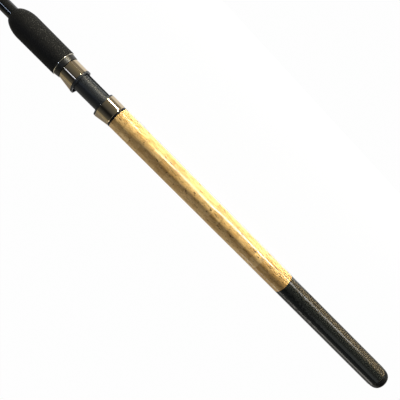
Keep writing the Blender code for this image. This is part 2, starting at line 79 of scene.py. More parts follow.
# A node tree to draw on, for a finish, the floor or the room
class Sheet:
    def __init__(self, tree):
        self.tree = tree

    def node(self, kind, settings=None, sockets=None, output=0):
        made = self.tree.nodes.new(kind)
        for key, value in (settings or {}).items():
            if key == "stops":
                self.fillRamp(made.color_ramp, value)
            else:
                setattr(made, key, value)
        for key, value in (sockets or {}).items():
            self.plug(made.inputs[key], value)
        return Signal(self, made.outputs[output])

    def fillRamp(self, ramp, stops):
        while len(ramp.elements) < len(stops):
            ramp.elements.new(1.0)
        for element, (place, colour) in zip(ramp.elements, stops):
            element.position = place
            element.color = (*colour, 1.0)

    def plug(self, socket, value):
        if isinstance(value, Signal):
            self.tree.links.new(value.socket, socket)
        elif socket.type == "RGBA" and len(value) == 3:
            socket.default_value = (*value, 1.0)
        else:
            socket.default_value = value

    def maths(self, operation, a, b=0.0):
        return self.node("ShaderNodeMath", {"operation": operation}, {0: a, 1: b})

    def fade(self, value, low, high):
        sockets = {"Value": value, "From Min": low, "From Max": high}
        return self.node("ShaderNodeMapRange", {"interpolation_type": "SMOOTHSTEP"}, sockets)

    def blend(self, share, a, b):
        return self.node("ShaderNodeMix", {"data_type": "RGBA"}, {0: share, 6: a, 7: b}, 2)

    def axes(self, place):
        parts = self.node("ShaderNodeSeparateXYZ", {}, {"Vector": place}).socket.node.outputs
        return [Signal(self, part) for part in parts]

    def between(self, ends, share):
        low, high = ends
        return low + (high - low) * share

    def noise(self, where, along, across, scale, detail, roughness, distortion=0.0):
        drawn = self.node("ShaderNodeMapping", {}, {"Vector": where, "Scale": (along, across, across)})
        sockets = {
            "Vector": drawn, "Scale": scale, "Detail": detail,
            "Roughness": roughness, "Distortion": distortion,
        }
        return self.node("ShaderNodeTexNoise", {}, sockets)


class Finish(Sheet):
    def __init__(self, name, constants):
        self.material = bpy.data.materials.new(name)
        self.material.use_nodes = True
        super().__init__(self.material.node_tree)
        self.shader = self.tree.nodes["Principled BSDF"]
        for socket, value in constants.items():
            self.plug(self.shader.inputs[socket], value)
        self.place = self.node("ShaderNodeTexCoord", {}, {}, 3)
        self.x, self.y, self.z = self.axes(self.place)

    def drive(self, socket, value):
        self.plug(self.shader.inputs[socket], value)

    def bump(self, height, depth):
        self.drive("Normal", self.node("ShaderNodeBump", {}, {"Height": height, "Distance": depth}))


def weigh(shares, *signals):
    return sum(signal * share for share, signal in zip(shares, signals))


def tint(red, green, blue):
    shares = [value / 255 for value in (red, green, blue)]
    return tuple(s / 12.92 if s <= 0.04045 else ((s + 0.055) / 1.055) ** 2.4 for s in shares)


# In the looks below a fade is its two ends, a mix or relief is the shares that it adds up, and a noise
# is its scale along and across the rod, then its own scale, detail, roughness and distortion. A scale
# along the rod below 1 draws the pattern out lengthwise.
# Cork: glued rings under a clear lacquer, with lengthwise dark dashes and pits
corkLook = {
    "ringLength": 0.0125,
    "firstRing": 0.1628,
    "light": tint(238, 200, 138),
    "deep": tint(196, 153, 92),
    "dash": tint(84, 56, 32),
    "seam": tint(120, 86, 52),
    "roughness": (0.05, 0.16),
    "specular": 0.4,
    "ringShift": 0.35,
    "chanceSeed": 0.37,
    "blotches": (0.26, 1.0, 240.0, 4.0, 0.60, 0.3),
    "grain": (0.26, 1.0, 1700.0, 3.0, 0.6),
    "dashes": (0.26, 1.0, 560.0, 3.0, 0.60, 0.5),
    "dashFade": (0.60, 0.66),
    "pits": (1.0, 1.0, 820.0, 1.0, 0.5),
    "pitFade": (0.69, 0.74),
    "seamFade": (0.004, 0.016),
    "toneMix": (0.9, 0.60, 0.17),
    "toneFade": (0.58, 1.06),
    "markShare": 0.9,
    "seamShare": 0.30,
    "dullMix": (1.0, 0.3),
    "dullFade": (0.4, 0.9),
    "swell": (0.16, 1.0, 80.0, 1.0, 0.5),
    "planing": (0.05, 1.0, 480.0, 1.0, 0.5),
    "relief": (1.0, 0.02, 0.002, -0.010, -0.003),
    "depth": 0.0017,
}


def makeCork(look):
    cork = Finish("lacqueredCork", {"IOR": 1.5, "Specular IOR Level": look["specular"]})
    position = (-1.0 * cork.x - look["firstRing"]) / look["ringLength"]
    index = cork.maths("FLOOR", position)
    share = position - index
    line = {"noise_dimensions": "1D"}
    seed = cork.node("ShaderNodeTexWhiteNoise", line, {"W": index}, 1)
    chance = cork.node("ShaderNodeTexWhiteNoise", line, {"W": index + look["chanceSeed"]})
    sockets = {0: seed, "Scale": look["ringShift"]}
    shift = cork.node("ShaderNodeVectorMath", {"operation": "SCALE"}, sockets)
    moved = cork.node("ShaderNodeVectorMath", {"operation": "ADD"}, {0: cork.place, 1: shift})
    blotches = cork.noise(moved, *look["blotches"])
    grain = cork.noise(moved, *look["grain"])
    dashes = cork.fade(cork.noise(moved, *look["dashes"]), *look["dashFade"])
    pits = cork.fade(cork.noise(moved, *look["pits"]), *look["pitFade"])
    marks = cork.maths("MAXIMUM", dashes, pits)
    seam = 1.0 - cork.fade(cork.maths("MINIMUM", share, 1.0 - share), *look["seamFade"])
    tone = weigh(look["toneMix"], blotches, grain, chance)
    body = cork.blend(cork.fade(tone, *look["toneFade"]), look["light"], look["deep"])
    marked = cork.blend(marks * look["markShare"], body, look["dash"])
    cork.drive("Base Color", cork.blend(seam * look["seamShare"], marked, look["seam"]))
    dull = cork.fade(weigh(look["dullMix"], blotches, marks), *look["dullFade"])
    cork.drive("Roughness", cork.between(look["roughness"], dull))
    swell = cork.noise(cork.place, *look["swell"])
    planing = cork.noise(cork.place, *look["planing"])
    cork.bump(weigh(look["relief"], swell, planing, grain, marks, seam), look["depth"])
    return cork


# Butt grip: black, glossy and drawn lengthwise, crinkled beside the cork, with a painted pale brown
# sheen on the upper spine side and a painted highlight along the edge beside the cap
gripLook = {
    "dark": tint(34, 36, 35),
    # The second colour is a painted sheen for the upper spine side, the third a painted highlight for
    # the edge beside the cap
    "wearAndPaintedSheen": tint(68, 60, 48),
    "edge": tint(128, 112, 92),
    "crinkled": (-0.116, -0.076),
    "paintedHighlightSpan": (-0.0090, -0.0084),
    "paintedSheenFrom": (0.0078, 0.0108),
    "paintedSheenTo": (-0.0005, 0.0030),
    "paintedSheenLeast": 0.45,
    "paintedHighlightFade": (0.30, 0.60),
    "paintedHighlightShare": 0.9,
    "dullFade": (0.3, 0.7),
    "roughness": (0.10, 0.20),
    "specular": 0.33,
    "drawn": (0.02, 1.0, 420.0, 1.0, 0.5),
    "swell": (0.16, 1.0, 150.0, 1.0, 0.5),
    "crinkle": (0.50, 1.0, 420.0, 1.0, 0.5),
    "relief": (0.30, 0.03, 0.85),
    "depth": 0.00030,
}


def makeGrip(look):
    grip = Finish("glossyGrip", {"IOR": 1.5, "Specular IOR Level": look["specular"]})
    drawn = grip.noise(grip.place, *look["drawn"])
    swell = grip.noise(grip.place, *look["swell"])
    crinkle = grip.noise(grip.place, *look["crinkle"])
    near = 1.0 - grip.fade(grip.x, *look["crinkled"])
    # Painted sheen: the upper spine side is tinted pale brown, fading out towards the lower limb
    wearAndPaintedSheen = grip.fade(grip.y, *look["paintedSheenFrom"]) * grip.fade(grip.z, *look["paintedSheenTo"])
    body = grip.blend(wearAndPaintedSheen * (look["paintedSheenLeast"] + drawn), look["dark"], look["wearAndPaintedSheen"])
    # Painted highlight: a broken pale line round the grip's end beside the cap
    edge = grip.fade(grip.x, *look["paintedHighlightSpan"]) * grip.fade(crinkle, *look["paintedHighlightFade"])
    grip.drive("Base Color", grip.blend(edge * look["paintedHighlightShare"], body, look["edge"]))
    grip.drive("Roughness", grip.between(look["roughness"], grip.fade(drawn, *look["dullFade"])))
    grip.bump(weigh(look["relief"], swell, drawn, near * crinkle), look["depth"])
    return grip


# Foam: closed-cell, matt, with fine open pores
foamLook = {
    "dark": tint(14, 14, 12),
    "pore": tint(2, 2, 2),
    "bright": tint(22, 21, 20),
    "roughness": (0.60, 0.74),
    "specular": 0.2,
    "cellScale": 2600.0,
    "cloud": (1.0, 1.0, 420.0, 4.0, 0.6),
    "speck": (1.0, 1.0, 1300.0, 3.0, 0.7),
    "speckMix": (0.5, 1.0),
    "speckFade": (0.62, 0.95),
    "poreFade": (0.12, 0.45),
    "poreShare": 0.7,
    "relief": (0.5, -0.6),
    "depth": 0.00012,
}


def makeFoam(look):
    foam = Finish("blackFoam", {"Specular IOR Level": look["specular"]})
    cells = foam.node("ShaderNodeTexVoronoi", {}, {"Vector": foam.place, "Scale": look["cellScale"]})
    cloud = foam.noise(foam.place, *look["cloud"])
    speck = foam.noise(foam.place, *look["speck"])
    specks = foam.fade(weigh(look["speckMix"], cloud, speck), *look["speckFade"])
    body = foam.blend(specks, look["dark"], look["bright"])
    pores = 1.0 - foam.fade(cells, *look["poreFade"])
    foam.drive("Base Color", foam.blend(pores * look["poreShare"], body, look["pore"]))
    foam.drive("Roughness", foam.between(look["roughness"], cloud))
    foam.bump(weigh(look["relief"], speck, pores), look["depth"])
    return foam


# Plain finishes: clouds in the colour and the gloss, over a fine grain
def makePlain(name, look):
    plain = Finish(name, {"IOR": look["index"], "Specular IOR Level": look["specular"]})
    cloud = plain.noise(plain.place, *look["cloud"])
    body = plain.blend(plain.fade(cloud, *look["cloudFade"]), look["dark"], look["light"])
    plain.drive("Base Color", body)
    plain.drive("Roughness", plain.between(look["roughness"], cloud))
    plain.bump(plain.noise(plain.place, *look["grain"]), look["depth"])
    return plain


# Moulded black plastic of the seat, satin
plasticLook = {
    "dark": tint(34, 37, 41),
    "light": tint(42, 44, 46),
    "index": 1.5,
    "specular": 0.5,
    "roughness": (0.34, 0.40),
    "cloud": (0.2, 1.0, 300.0, 3.0, 0.6),
    "cloudFade": (0.4, 0.8),
    "grain": (1.0, 1.0, 3600.0, 2.0, 0.6),
    "depth": 0.000004,
}

# Rubber of the butt cap and the check ring
rubberLook = {
    "dark": tint(8, 8, 8),
    "light": tint(20, 19, 18),
    "index": 1.5,
    "roughness": (0.24, 0.38),
    "specular": 0.3,
    "cloud": (1.0, 1.0, 320.0, 4.0, 0.6),
    "cloudFade": (0.45, 0.8),
    "grain": (1.0, 1.0, 2800.0, 2.0, 0.5),
    "depth": 0.00004,
}

# Polished ceramic of the guide's ring
ceramicLook = {
    "dark": tint(70, 73, 78),
    "light": tint(92, 95, 100),
    "index": 1.7,
    "specular": 0.5,
    "roughness": (0.08, 0.16),
    "cloud": (1.0, 1.0, 500.0, 4.0, 0.6),
    "cloudFade": (0.35, 0.7),
    "grain": (1.0, 1.0, 500.0, 4.0, 0.6),
    "depth": 0.000008,
}

# Dark chrome of the hoods and the guide's frame
chromeLook = {
    "plate": (0.62, 0.505, 0.345),
    "shade": (0.57, 0.46, 0.31),
    "roughness": (0.05, 0.09),
    "cloud": (1.0, 1.0, 170.0, 3.0, 0.6),
    "cloudFade": (0.35, 0.75),
    "polish": (1.0, 0.12, 2600.0, 2.0, 0.6),
    "dullMix": (0.6, 0.4),
    "dullFade": (0.3, 0.75),
    "relief": (1.0, 0.1),
    "depth": 0.000004,
}


def makeChrome(look):
    chrome = Finish("darkChrome", {"Metallic": 1.0})
    cloud = chrome.noise(chrome.place, *look["cloud"])
    polish = chrome.noise(chrome.place, *look["polish"])
    body = chrome.blend(chrome.fade(cloud, *look["cloudFade"]), look["plate"], look["shade"])
    chrome.drive("Base Color", body)
    dull = chrome.fade(weigh(look["dullMix"], cloud, polish), *look["dullFade"])
    chrome.drive("Roughness", chrome.between(look["roughness"], dull))
    chrome.bump(weigh(look["relief"], cloud, polish), look["depth"])
    return chrome


# Black anodised collar: satin metal, brushed round
anodisedLook = {
    "dark": (0.060, 0.060, 0.058),
    "wearAndPaintedSheen": (0.095, 0.092, 0.082),
    "roughness": (0.30, 0.40),
    "brushed": (1.0, 0.05, 5200.0, 3.0, 0.6),
    "depth": 0.000004,
}


def makeAnodised(look):
    anodised = Finish("blackAnodised", {"Metallic": 1.0})
    brushed = anodised.noise(anodised.place, *look["brushed"])
    anodised.drive("Base Color", anodised.blend(brushed, look["dark"], look["wearAndPaintedSheen"]))
    anodised.drive("Roughness", anodised.between(look["roughness"], brushed))
    anodised.bump(brushed, look["depth"])
    return anodised


# Turned bright metal of the trim ring
brightLook = {
    "metal": (0.86, 0.80, 0.66),
    "darker": 0.85,
    "roughness": 0.14,
    "turned": (1.0, 0.04, 9000.0, 2.0, 0.5),
    "depth": 0.000002,
}


def makeBright(look):
    bright = Finish("brightMetal", {"Metallic": 1.0, "Roughness": look["roughness"]})
    turned = bright.noise(bright.place, *look["turned"])
    shade = tuple(channel * look["darker"] for channel in look["metal"])
    bright.drive("Base Color", bright.blend(turned, look["metal"], shade))
    bright.bump(turned, look["depth"])
    return bright


# Carbon of the blank: a crossed wrap that only just shows under the lacquer
carbonLook = {
    "resin": tint(13, 14, 15),
    "fibre": tint(30, 30, 29),
    "tows": 26,
    "tow": 0.0019,
    "roughness": (0.03, 0.07),
    "weaveFade": (-0.5, 0.5),
    "thread": (0.1, 1.0, 2600.0, 2.0, 0.6),
    "swell": (0.15, 1.0, 90.0, 2.0, 0.5),
    "toneMix": (0.35, 0.3),
    "relief": (0.5, 0.01),
    "depth": 0.00003,
}


def makeCarbon(look):
    carbon = Finish("lacqueredCarbon", {"IOR": 1.5})
    around = carbon.maths("ARCTAN2", carbon.y, carbon.z) * (look["tows"] / 2)
    along = carbon.x * (math.pi / look["tow"])
    crossed = carbon.maths("SINE", along + around) * carbon.maths("SINE", along - around)
    weave = carbon.fade(crossed, *look["weaveFade"])
    thread = carbon.noise(carbon.place, *look["thread"])
    tone = weigh(look["toneMix"], weave, thread)
    carbon.drive("Base Color", carbon.blend(tone, look["resin"], look["fibre"]))
    carbon.drive("Roughness", carbon.between(look["roughness"], thread))
    swell = carbon.noise(carbon.place, *look["swell"])
    carbon.bump(weigh(look["relief"], swell, weave), look["depth"])
    return carbon


# Lacquered thread of the whippings
threadLook = {
    "pitch": 0.00026,
    "dark": tint(16, 17, 20),
    "bright": tint(38, 40, 46),
    "roughness": (0.08, 0.18),
    "strand": (1.0, 0.2, 2200.0, 2.0, 0.6),
    "toneMix": (0.6, 0.4),
    "relief": (0.5, 0.2),
    "depth": 0.00004,
}


def makeThread(look):
    thread = Finish("lacqueredThread", {"IOR": 1.5})
    turns = thread.maths("SINE", thread.x * (2 * math.pi / look["pitch"])) * 0.5 + 0.5
    strand = thread.noise(thread.place, *look["strand"])
    tone = weigh(look["toneMix"], turns, strand)
    thread.drive("Base Color", thread.blend(tone, look["dark"], look["bright"]))
    thread.drive("Roughness", thread.between(look["roughness"], strand))
    thread.bump(weigh(look["relief"], turns, strand), look["depth"])
    return thread


finishes = {
    "lacquered_cork": makeCork(corkLook),
    "glossy_black_grip": makeGrip(gripLook),
    "black_foam": makeFoam(foamLook),
    "satin_black_plastic": makePlain("satinPlastic", plasticLook),
    "black_rubber": makePlain("blackRubber", rubberLook),
    "dark_chrome": makeChrome(chromeLook),
    "black_anodised": makeAnodised(anodisedLook),
    "bright_metal": makeBright(brightLook),
    "lacquered_carbon": makeCarbon(carbonLook),
    "lacquered_thread": makeThread(threadLook),
    "grey_ceramic": makePlain("greyCeramic", ceramicLook),
}
print("finishes made:", len(finishes))


# Modelling steps that every piece shares
nearly = 0.000001
roundSides = 96


def span(node):
    low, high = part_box(node)
    return -high.x, -low.x


def ringAt(name, distance, radius, sides, fill="NOTHING", centre=(0.0, 0.0)):
    bpy.ops.object.select_all(action="DESELECT")
    bpy.ops.mesh.primitive_circle_add(
        vertices=sides, radius=radius, fill_type=fill,
        location=(-distance, *centre), rotation=(0.0, math.pi / 2, 0.0),
    )
    piece = bpy.context.object
    piece.name = name
    bpy.ops.object.transform_apply(location=True, rotation=True, scale=True)
    bpy.ops.object.mode_set(mode="EDIT")
    bpy.ops.mesh.select_all(action="SELECT")
    return piece


def drawOn(outline, centre=(0.0, 0.0)):
    # Extrude the selected loop along the rod and scale it, from one outline point to the next
    distance, radius = outline[0]
    for nextDistance, nextRadius in outline[1:]:
        bpy.ops.mesh.extrude_region_move(
            TRANSFORM_OT_translate={"value": (distance - nextDistance, 0.0, 0.0)}
        )
        ratio = nextRadius / radius
        bpy.ops.transform.resize(value=(1.0, ratio, ratio), center_override=(-nextDistance, *centre))
        distance, radius = nextDistance, nextRadius


def outward(vertex):
    return Vector((0.0, vertex.co.y, vertex.co.z)).normalized()


def pipe(start, end, bore, radius, endRadius=None):
    return [(start, bore), (start, radius), (end, endRadius or radius), (end, bore)]


def selectOpenEdges():
    bpy.ops.mesh.select_all(action="DESELECT")
    bpy.ops.mesh.select_non_manifold(
        extend=False, use_wire=False, use_boundary=True,
        use_multi_face=False, use_non_contiguous=False, use_verts=False,
    )


def bridgeEnds():
    selectOpenEdges()
    bpy.ops.mesh.bridge_edge_loops()


def leaveEdit():
    bpy.ops.mesh.select_all(action="SELECT")
    bpy.ops.mesh.normals_make_consistent(inside=False)
    bpy.ops.object.mode_set(mode="OBJECT")


def softenEdges(piece, width, segments=3, angle=30.0):
    bpy.ops.object.shade_smooth()
    bevel = piece.modifiers.new("Edges", "BEVEL")
    bevel.width = width
    bevel.segments = segments
    bevel.limit_method = "ANGLE"
    bevel.angle_limit = math.radians(angle)
    bevel.harden_normals = True
    bpy.ops.object.modifier_apply(modifier=bevel.name)


def turnTube(name, outline, edge, sides=roundSides):
    # A turned piece with a hole through it
    piece = ringAt(name, *outline[0], sides)
    drawOn(outline)
    bridgeEnds()
    leaveEdit()
    softenEdges(piece, edge)
    return piece


def turnSolid(name, outline, edge):
    # A turned piece with closed ends
    piece = ringAt(name, *outline[0], roundSides, "TRIFAN")
    drawOn(outline)
    leaveEdit()
    softenEdges(piece, edge)
    return piece


def workOn(piece):
    bpy.ops.object.select_all(action="DESELECT")
    bpy.context.view_layer.objects.active = piece
    piece.select_set(True)


def combine(piece, operation, tool):
    workOn(piece)
    step = piece.modifiers.new("Combine", "BOOLEAN")
    step.operation = operation
    step.object = tool
    step.solver = "EXACT"
    bpy.ops.object.modifier_apply(modifier=step.name)
    bpy.data.objects.remove(tool)


def boxTool(name, low, high):
    bpy.ops.object.select_all(action="DESELECT")
    middle = [(a + b) / 2 for a, b in zip(low, high)]
    size = [b - a for a, b in zip(low, high)]
    bpy.ops.mesh.primitive_cube_add(size=1.0, location=middle, scale=size)
    bpy.context.object.name = name
    bpy.ops.object.transform_apply(location=True, rotation=True, scale=True)
    return bpy.context.object


def turnedTool(name, outline, sides=roundSides):
    piece = ringAt(name, *outline[0], sides, "NGON")
    drawOn(outline)
    leaveEdit()
    return piece


def smoothByAngle(piece, angle):
    workOn(piece)
    bpy.ops.object.shade_smooth_by_angle(angle=math.radians(angle))


def dress(piece, slot, body, *nodes):
    piece.data.materials.clear()
    piece.data.materials.append(finishes[slot].material)
    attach(piece, body)
    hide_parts(*nodes)


def makePipe(name, slot, body, node, size):
    outline = pipe(*span(node), size["bore"], size["radius"], size.get("endRadius"))
    dress(turnTube(name, outline, size["edge"], size["sides"]), slot, body, node)


# Butt cap: a blunt dome with a small flat, and a stem that plugs the blank
buttCap = {
    "flatRadius": 0.0106,
    "radius": 0.0125,
    "height": 0.0080,
    "steps": 20,
    "stemRadius": 0.00565,
    "stemEnd": 0.0220,
    "edge": 0.00025,
}


def makeButtCap(size):
    outline = []
    for step in range(size["steps"] + 1):
        angle = math.pi / 2 * step / size["steps"]
        radius = size["flatRadius"] + (size["radius"] - size["flatRadius"]) * math.sin(angle)
        outline.append((size["height"] * (1 - math.cos(angle)), radius))
    outline += [(size["height"], size["stemRadius"]), (size["stemEnd"], size["stemRadius"])]
    cap = turnSolid("buttCap", outline, size["edge"])
    dress(cap, "black_rubber", "handle_and_blank", "butt_cap")


makeButtCap(buttCap)

# Butt grip: slightly tapered, with rounded ends
buttGrip = {"radius": 0.01275, "endRadius": 0.0126, "bore": 0.00755, "edge": 0.0004, "sides": 96}

makePipe("buttGrip", "glossy_black_grip", "handle_and_blank", "butt_grip", buttGrip)

# Cork: one ring is modelled and copied along the handle
corkHandle = {"count": 20, "radius": 0.0126, "bore": 0.00755, "joint": 0.00003, "edge": 0.00006}


def makeCorkRings(size):
    start = corkLook["firstRing"] + size["joint"]
    end = corkLook["firstRing"] + corkLook["ringLength"]
    first = turnTube("corkRing01", pipe(start, end, size["bore"], size["radius"]), size["edge"])
    rings = [first]
    for index in range(1, size["count"]):
        workOn(first)
        bpy.ops.object.duplicate(linked=False)
        ring = bpy.context.object
        ring.name = f"corkRing{index + 1:02d}"
        bpy.ops.transform.translate(value=(-index * corkLook["ringLength"], 0.0, 0.0))
        bpy.ops.object.transform_apply(location=True, rotation=True, scale=True)
        rings.append(ring)
    for index, ring in enumerate(rings):
        dress(ring, "lacquered_cork", "handle_and_blank", f"cork_ring_{index + 1:02d}")


makeCorkRings(corkHandle)

# Check ring between the cork and the seat
checkRing = {"radius": 0.0127, "bore": 0.00755, "edge": 0.0003, "sides": 96}

makePipe("checkRing", "black_rubber", "handle_and_blank", "seat_check_ring", checkRing)
print("rear handle made")

# Seat barrel: a pipe with a thread, a flat deck for the reel and a keyway along the spine
barrel = {
    "radius": 0.0105,
    "bore": 0.00755,
    "deckWidth": 0.0102,
    "keywayWidth": 0.0047,
    "keywayDepth": 0.0012,
    "threadBase": 0.4759,
    "pitch": 0.0030,
    "threadDepth": 0.0009,
    "grooveShare": 0.62,
    "flankShare": 0.13,
    "steps": 48,
    "smoothAngle": 35.0,
    "groovePast": 0.0012,
    "cutPast": 0.01,
    "mouthGap": 0.0006,
}


def threadTool(size, end):
    # The groove's section, wound up the barrel with a Screw modifier
    past = size["groovePast"]
    flank = size["pitch"] * size["flankShare"]
    wide = size["pitch"] * size["grooveShare"] / 2
    flare = flank * past / size["threadDepth"]
    outer = size["radius"] + past
    inner = size["radius"] - size["threadDepth"]
    bpy.ops.object.select_all(action="DESELECT")
    bpy.ops.mesh.primitive_plane_add(size=1.0, location=(0.0, 0.0, 0.0))
    tool = bpy.context.object
    tool.name = "threadTool"
    corners = [
        (outer, wide + flare), (outer, -wide - flare), (inner, -wide + flank), (inner, wide - flank),
    ]
    shape = bmesh.new()
    loop = [shape.verts.new((-size["threadBase"] - along, 0.0, out)) for out, along in corners]
    for corner, following in zip(loop, loop[1:] + loop[:1]):
        shape.edges.new((corner, following))
    shape.to_mesh(tool.data)
    shape.free()
    screw = tool.modifiers.new("Wind", "SCREW")
    screw.axis = "X"
    screw.steps = size["steps"]
    screw.render_steps = size["steps"]
    screw.iterations = math.ceil((end - size["threadBase"]) / size["pitch"]) + 1
    screw.screw_offset = -size["pitch"]
    bpy.ops.object.modifier_apply(modifier=screw.name)
    bpy.ops.object.mode_set(mode="EDIT")
    bpy.ops.mesh.select_all(action="SELECT")
    bpy.ops.mesh.remove_doubles(threshold=nearly)
    selectOpenEdges()
    bpy.ops.mesh.fill()
    leaveEdit()
    return tool


def makeBarrel(size):
    start, end = span("seat_barrel")
    outline = pipe(start, end, size["bore"], size["radius"])
    piece = ringAt("seatBarrel", *outline[0], size["steps"] * 2)
    drawOn(outline)
    bridgeEnds()
    leaveEdit()
    combine(piece, "DIFFERENCE", threadTool(size, end))
    deck = math.sqrt(size["radius"] ** 2 - (size["deckWidth"] / 2) ** 2)
    past = size["cutPast"]
    cut = boxTool("deckCut", (-end - past, -past * 2, -past * 2), (-start + past, -deck, past * 2))
    combine(piece, "DIFFERENCE", cut)
    floorAt = size["radius"] - size["keywayDepth"]
    half = size["keywayWidth"] / 2
    mouth = span("rear_hood_liner")[1] - size["mouthGap"]
    cut = boxTool("keywayCut", (-end - past, floorAt, -half), (-mouth, past * 2, half))
    combine(piece, "DIFFERENCE", cut)
    smoothByAngle(piece, size["smoothAngle"])
    dress(piece, "satin_black_plastic", "handle_and_blank", "seat_barrel")


makeBarrel(barrel)

# Hoods: pressed shells, round at the closed end, with a lobe for the reel's foot at the mouth
hood = {
    "radius": 0.0124,
    "reach": 0.0154,
    "lobe": 0.0080,
    "wall": 0.0006,
    "crown": 0.0007,
    "crownSteps": 6,
    "levels": 10,
    "sides": 144,
    "edge": 0.00018,
    "edgeAngle": 40.0,
    "pocketTip": 0.0001,
    "lipStep": 0.0002,
    "lipRim": 0.0010,
    "hoodBore": 0.01085,
    "sleeveRadius": 0.0115,
}


def pullLobe(piece, mouth, closed, radius, reach, lobe):
    # Pull the reel side out to the lobe, most at the mouth and not at all at the closed end
    shape = bmesh.from_edit_mesh(piece.data)
    offset = lobe - reach
    for vertex in shape.verts:
        share = (closed + vertex.co.x) / (closed - mouth)
        out = outward(vertex)
        if share > 0 and lobe + out.y * offset > radius:
            vertex.co += share * (out * (lobe - radius) + Vector((0.0, offset, 0.0)))
    bmesh.update_edit_mesh(piece.data)


def makeShell(name, node, size, mouthFirst, hole):
    start, end = span(node)
    mouth, closed = (start, end) if mouthFirst else (end, start)
    turn = 1 if mouthFirst else -1
    crown = size["crown"]
    wallEnd = closed - turn * crown
    outline = []
    for level in range(size["levels"] + 1):
        outline.append((mouth + (wallEnd - mouth) * level / size["levels"], size["radius"]))
    for step in range(1, size["crownSteps"] + 1):
        angle = math.pi / 2 * step / size["crownSteps"]
        drop = crown * (1 - math.cos(angle))
        outline.append((wallEnd + turn * crown * math.sin(angle), size["radius"] - drop))
    outline.append((closed, hole))
    shell = ringAt(name, *outline[0], size["sides"])
    drawOn(outline)
    pullLobe(shell, mouth, wallEnd, size["radius"], size["reach"], size["lobe"])
    leaveEdit()
    wall = shell.modifiers.new("Wall", "SOLIDIFY")
    wall.thickness = size["wall"]
    wall.offset = -1.0
    wall.use_even_offset = True
    bpy.ops.object.modifier_apply(modifier=wall.name)
    softenEdges(shell, size["edge"], segments=2, angle=size["edgeAngle"])
    return shell


def lobed(name, start, end, radius, reach, lobe, size, closedReach=None):
    # A solid with the hood's section, drawn in towards its closed end if one is given
    piece = ringAt(name, start, radius, size["sides"], "NGON")
    drawOn([(start, radius), (end, radius)])
    shape = bmesh.from_edit_mesh(piece.data)
    for vertex in shape.verts:
        far = reach if closedReach is None or abs(vertex.co.x + start) < nearly else closedReach
        offset = min(0.0, lobe - far)
        out = outward(vertex)
        if lobe + out.y * offset > radius:
            vertex.co.yz = (out.y * lobe + offset, out.z * lobe)
    bmesh.update_edit_mesh(piece.data)
    leaveEdit()
    return piece


def makeLiner(name, size, mouth, closed, lip, sleeve):
    # A lip over the shell's mouth and a sleeve that runs on the barrel, hollowed for the reel's foot
    turn = 1 if closed > mouth else -1
    reach = size["reach"] + size["lipStep"]
    lobe = size["lobe"] + size["lipStep"]
    radius = size["radius"] + size["lipStep"]
    liner = lobed(name, mouth, mouth + turn * lip, radius, reach, lobe, size)
    combine(liner, "UNION", turnedTool(name + "Sleeve", sleeve, size["sides"]))
    length = abs(closed - mouth)
    deep = size["radius"] - size["wall"] / 2
    pocket = size["lobe"] - size["wall"]
    wide = deep + (reach - size["lipRim"] - deep) * (length + lip) / length
    before = mouth - turn * lip
    tool = lobed(name + "Pocket", before, closed, size["pocketTip"], wide, pocket, size, deep)
    combine(liner, "DIFFERENCE", tool)
    distances = [distance for distance, _ in sleeve] + [mouth]
    bore = [(min(distances) - lip, size["hoodBore"]), (max(distances) + lip, size["hoodBore"])]
    combine(liner, "DIFFERENCE", turnedTool(name + "Bore", bore, size["sides"]))
    return liner


rearHood = {"lip": 0.0017, "edge": 0.00012}


def makeRearHood(size, own):
    shell = makeShell("rearHoodShell", "rear_hood_shell", size, False, size["hoodBore"])
    dress(shell, "dark_chrome", "handle_and_blank", "rear_hood_shell")
    start, mouth = span("rear_hood_liner")
    sleeve = [(start, size["sleeveRadius"]), (mouth - own["lip"] / 2, size["sleeveRadius"])]
    closed = span("rear_hood_shell")[0]
    liner = makeLiner("rearHoodLiner", size, mouth, closed, own["lip"], sleeve)
    workOn(liner)
    softenEdges(liner, own["edge"], segments=2, angle=size["edgeAngle"])
    dress(liner, "satin_black_plastic", "handle_and_blank", "rear_hood_liner")


makeRearHood(hood, rearHood)

frontHood = {
    "lip": 0.0022,
    "length": 0.0181,
    "tailRadius": 0.0112,
    "beadRadius": 0.0119,
    "beadLength": 0.0015,
    "gap": 0.0003,
    "keyHalf": 0.00205,
    "keyLow": 0.0096,
    "keyHigh": 0.01118,
    "edge": 0.0002,
}


def makeFrontHood(size, own):
    hole = own["tailRadius"] + own["gap"]
    shell = makeShell("frontHoodShell", "front_hood_shell", size, True, hole)
    dress(shell, "dark_chrome", "front_hood", "front_hood_shell")
    mouth, beadTop = span("front_hood_liner")
    turn = mouth + own["length"] - size["wall"] - own["gap"]
    beadBase = beadTop - own["beadLength"]
    step = own["beadRadius"] - own["tailRadius"]
    sleeve = [
        (mouth + own["lip"] / 2, size["sleeveRadius"]),
        (turn, size["sleeveRadius"]),
        (turn, own["tailRadius"]),
        (beadBase, own["tailRadius"]),
        (beadBase, own["beadRadius"]),
        (beadTop - step, own["beadRadius"]),
        (beadTop, own["tailRadius"]),
    ]
    liner = makeLiner("frontHoodLiner", size, mouth, mouth + own["length"], own["lip"], sleeve)
    low = (-turn + own["gap"], own["keyLow"], -own["keyHalf"])
    high = (-mouth - own["lip"] / 2, own["keyHigh"], own["keyHalf"])
    combine(liner, "UNION", boxTool("hoodKey", low, high))
    workOn(liner)
    softenEdges(liner, own["edge"], segments=2, angle=size["edgeAngle"])
    dress(liner, "satin_black_plastic", "front_hood", "front_hood_liner")


makeFrontHood(hood, frontHood)
print("reel seat made")

# Foregrip: collar, trim ring and a foam grip with a bullet nose, which turn together
collar = {
    "rearRadius": 0.0129,
    "frontRadius": 0.0135,
    "groove": 0.0013,
    "tailBore": 0.01155,
    "nutBore": 0.01225,
    "edge": 0.0003,
    "sides": 128,
}


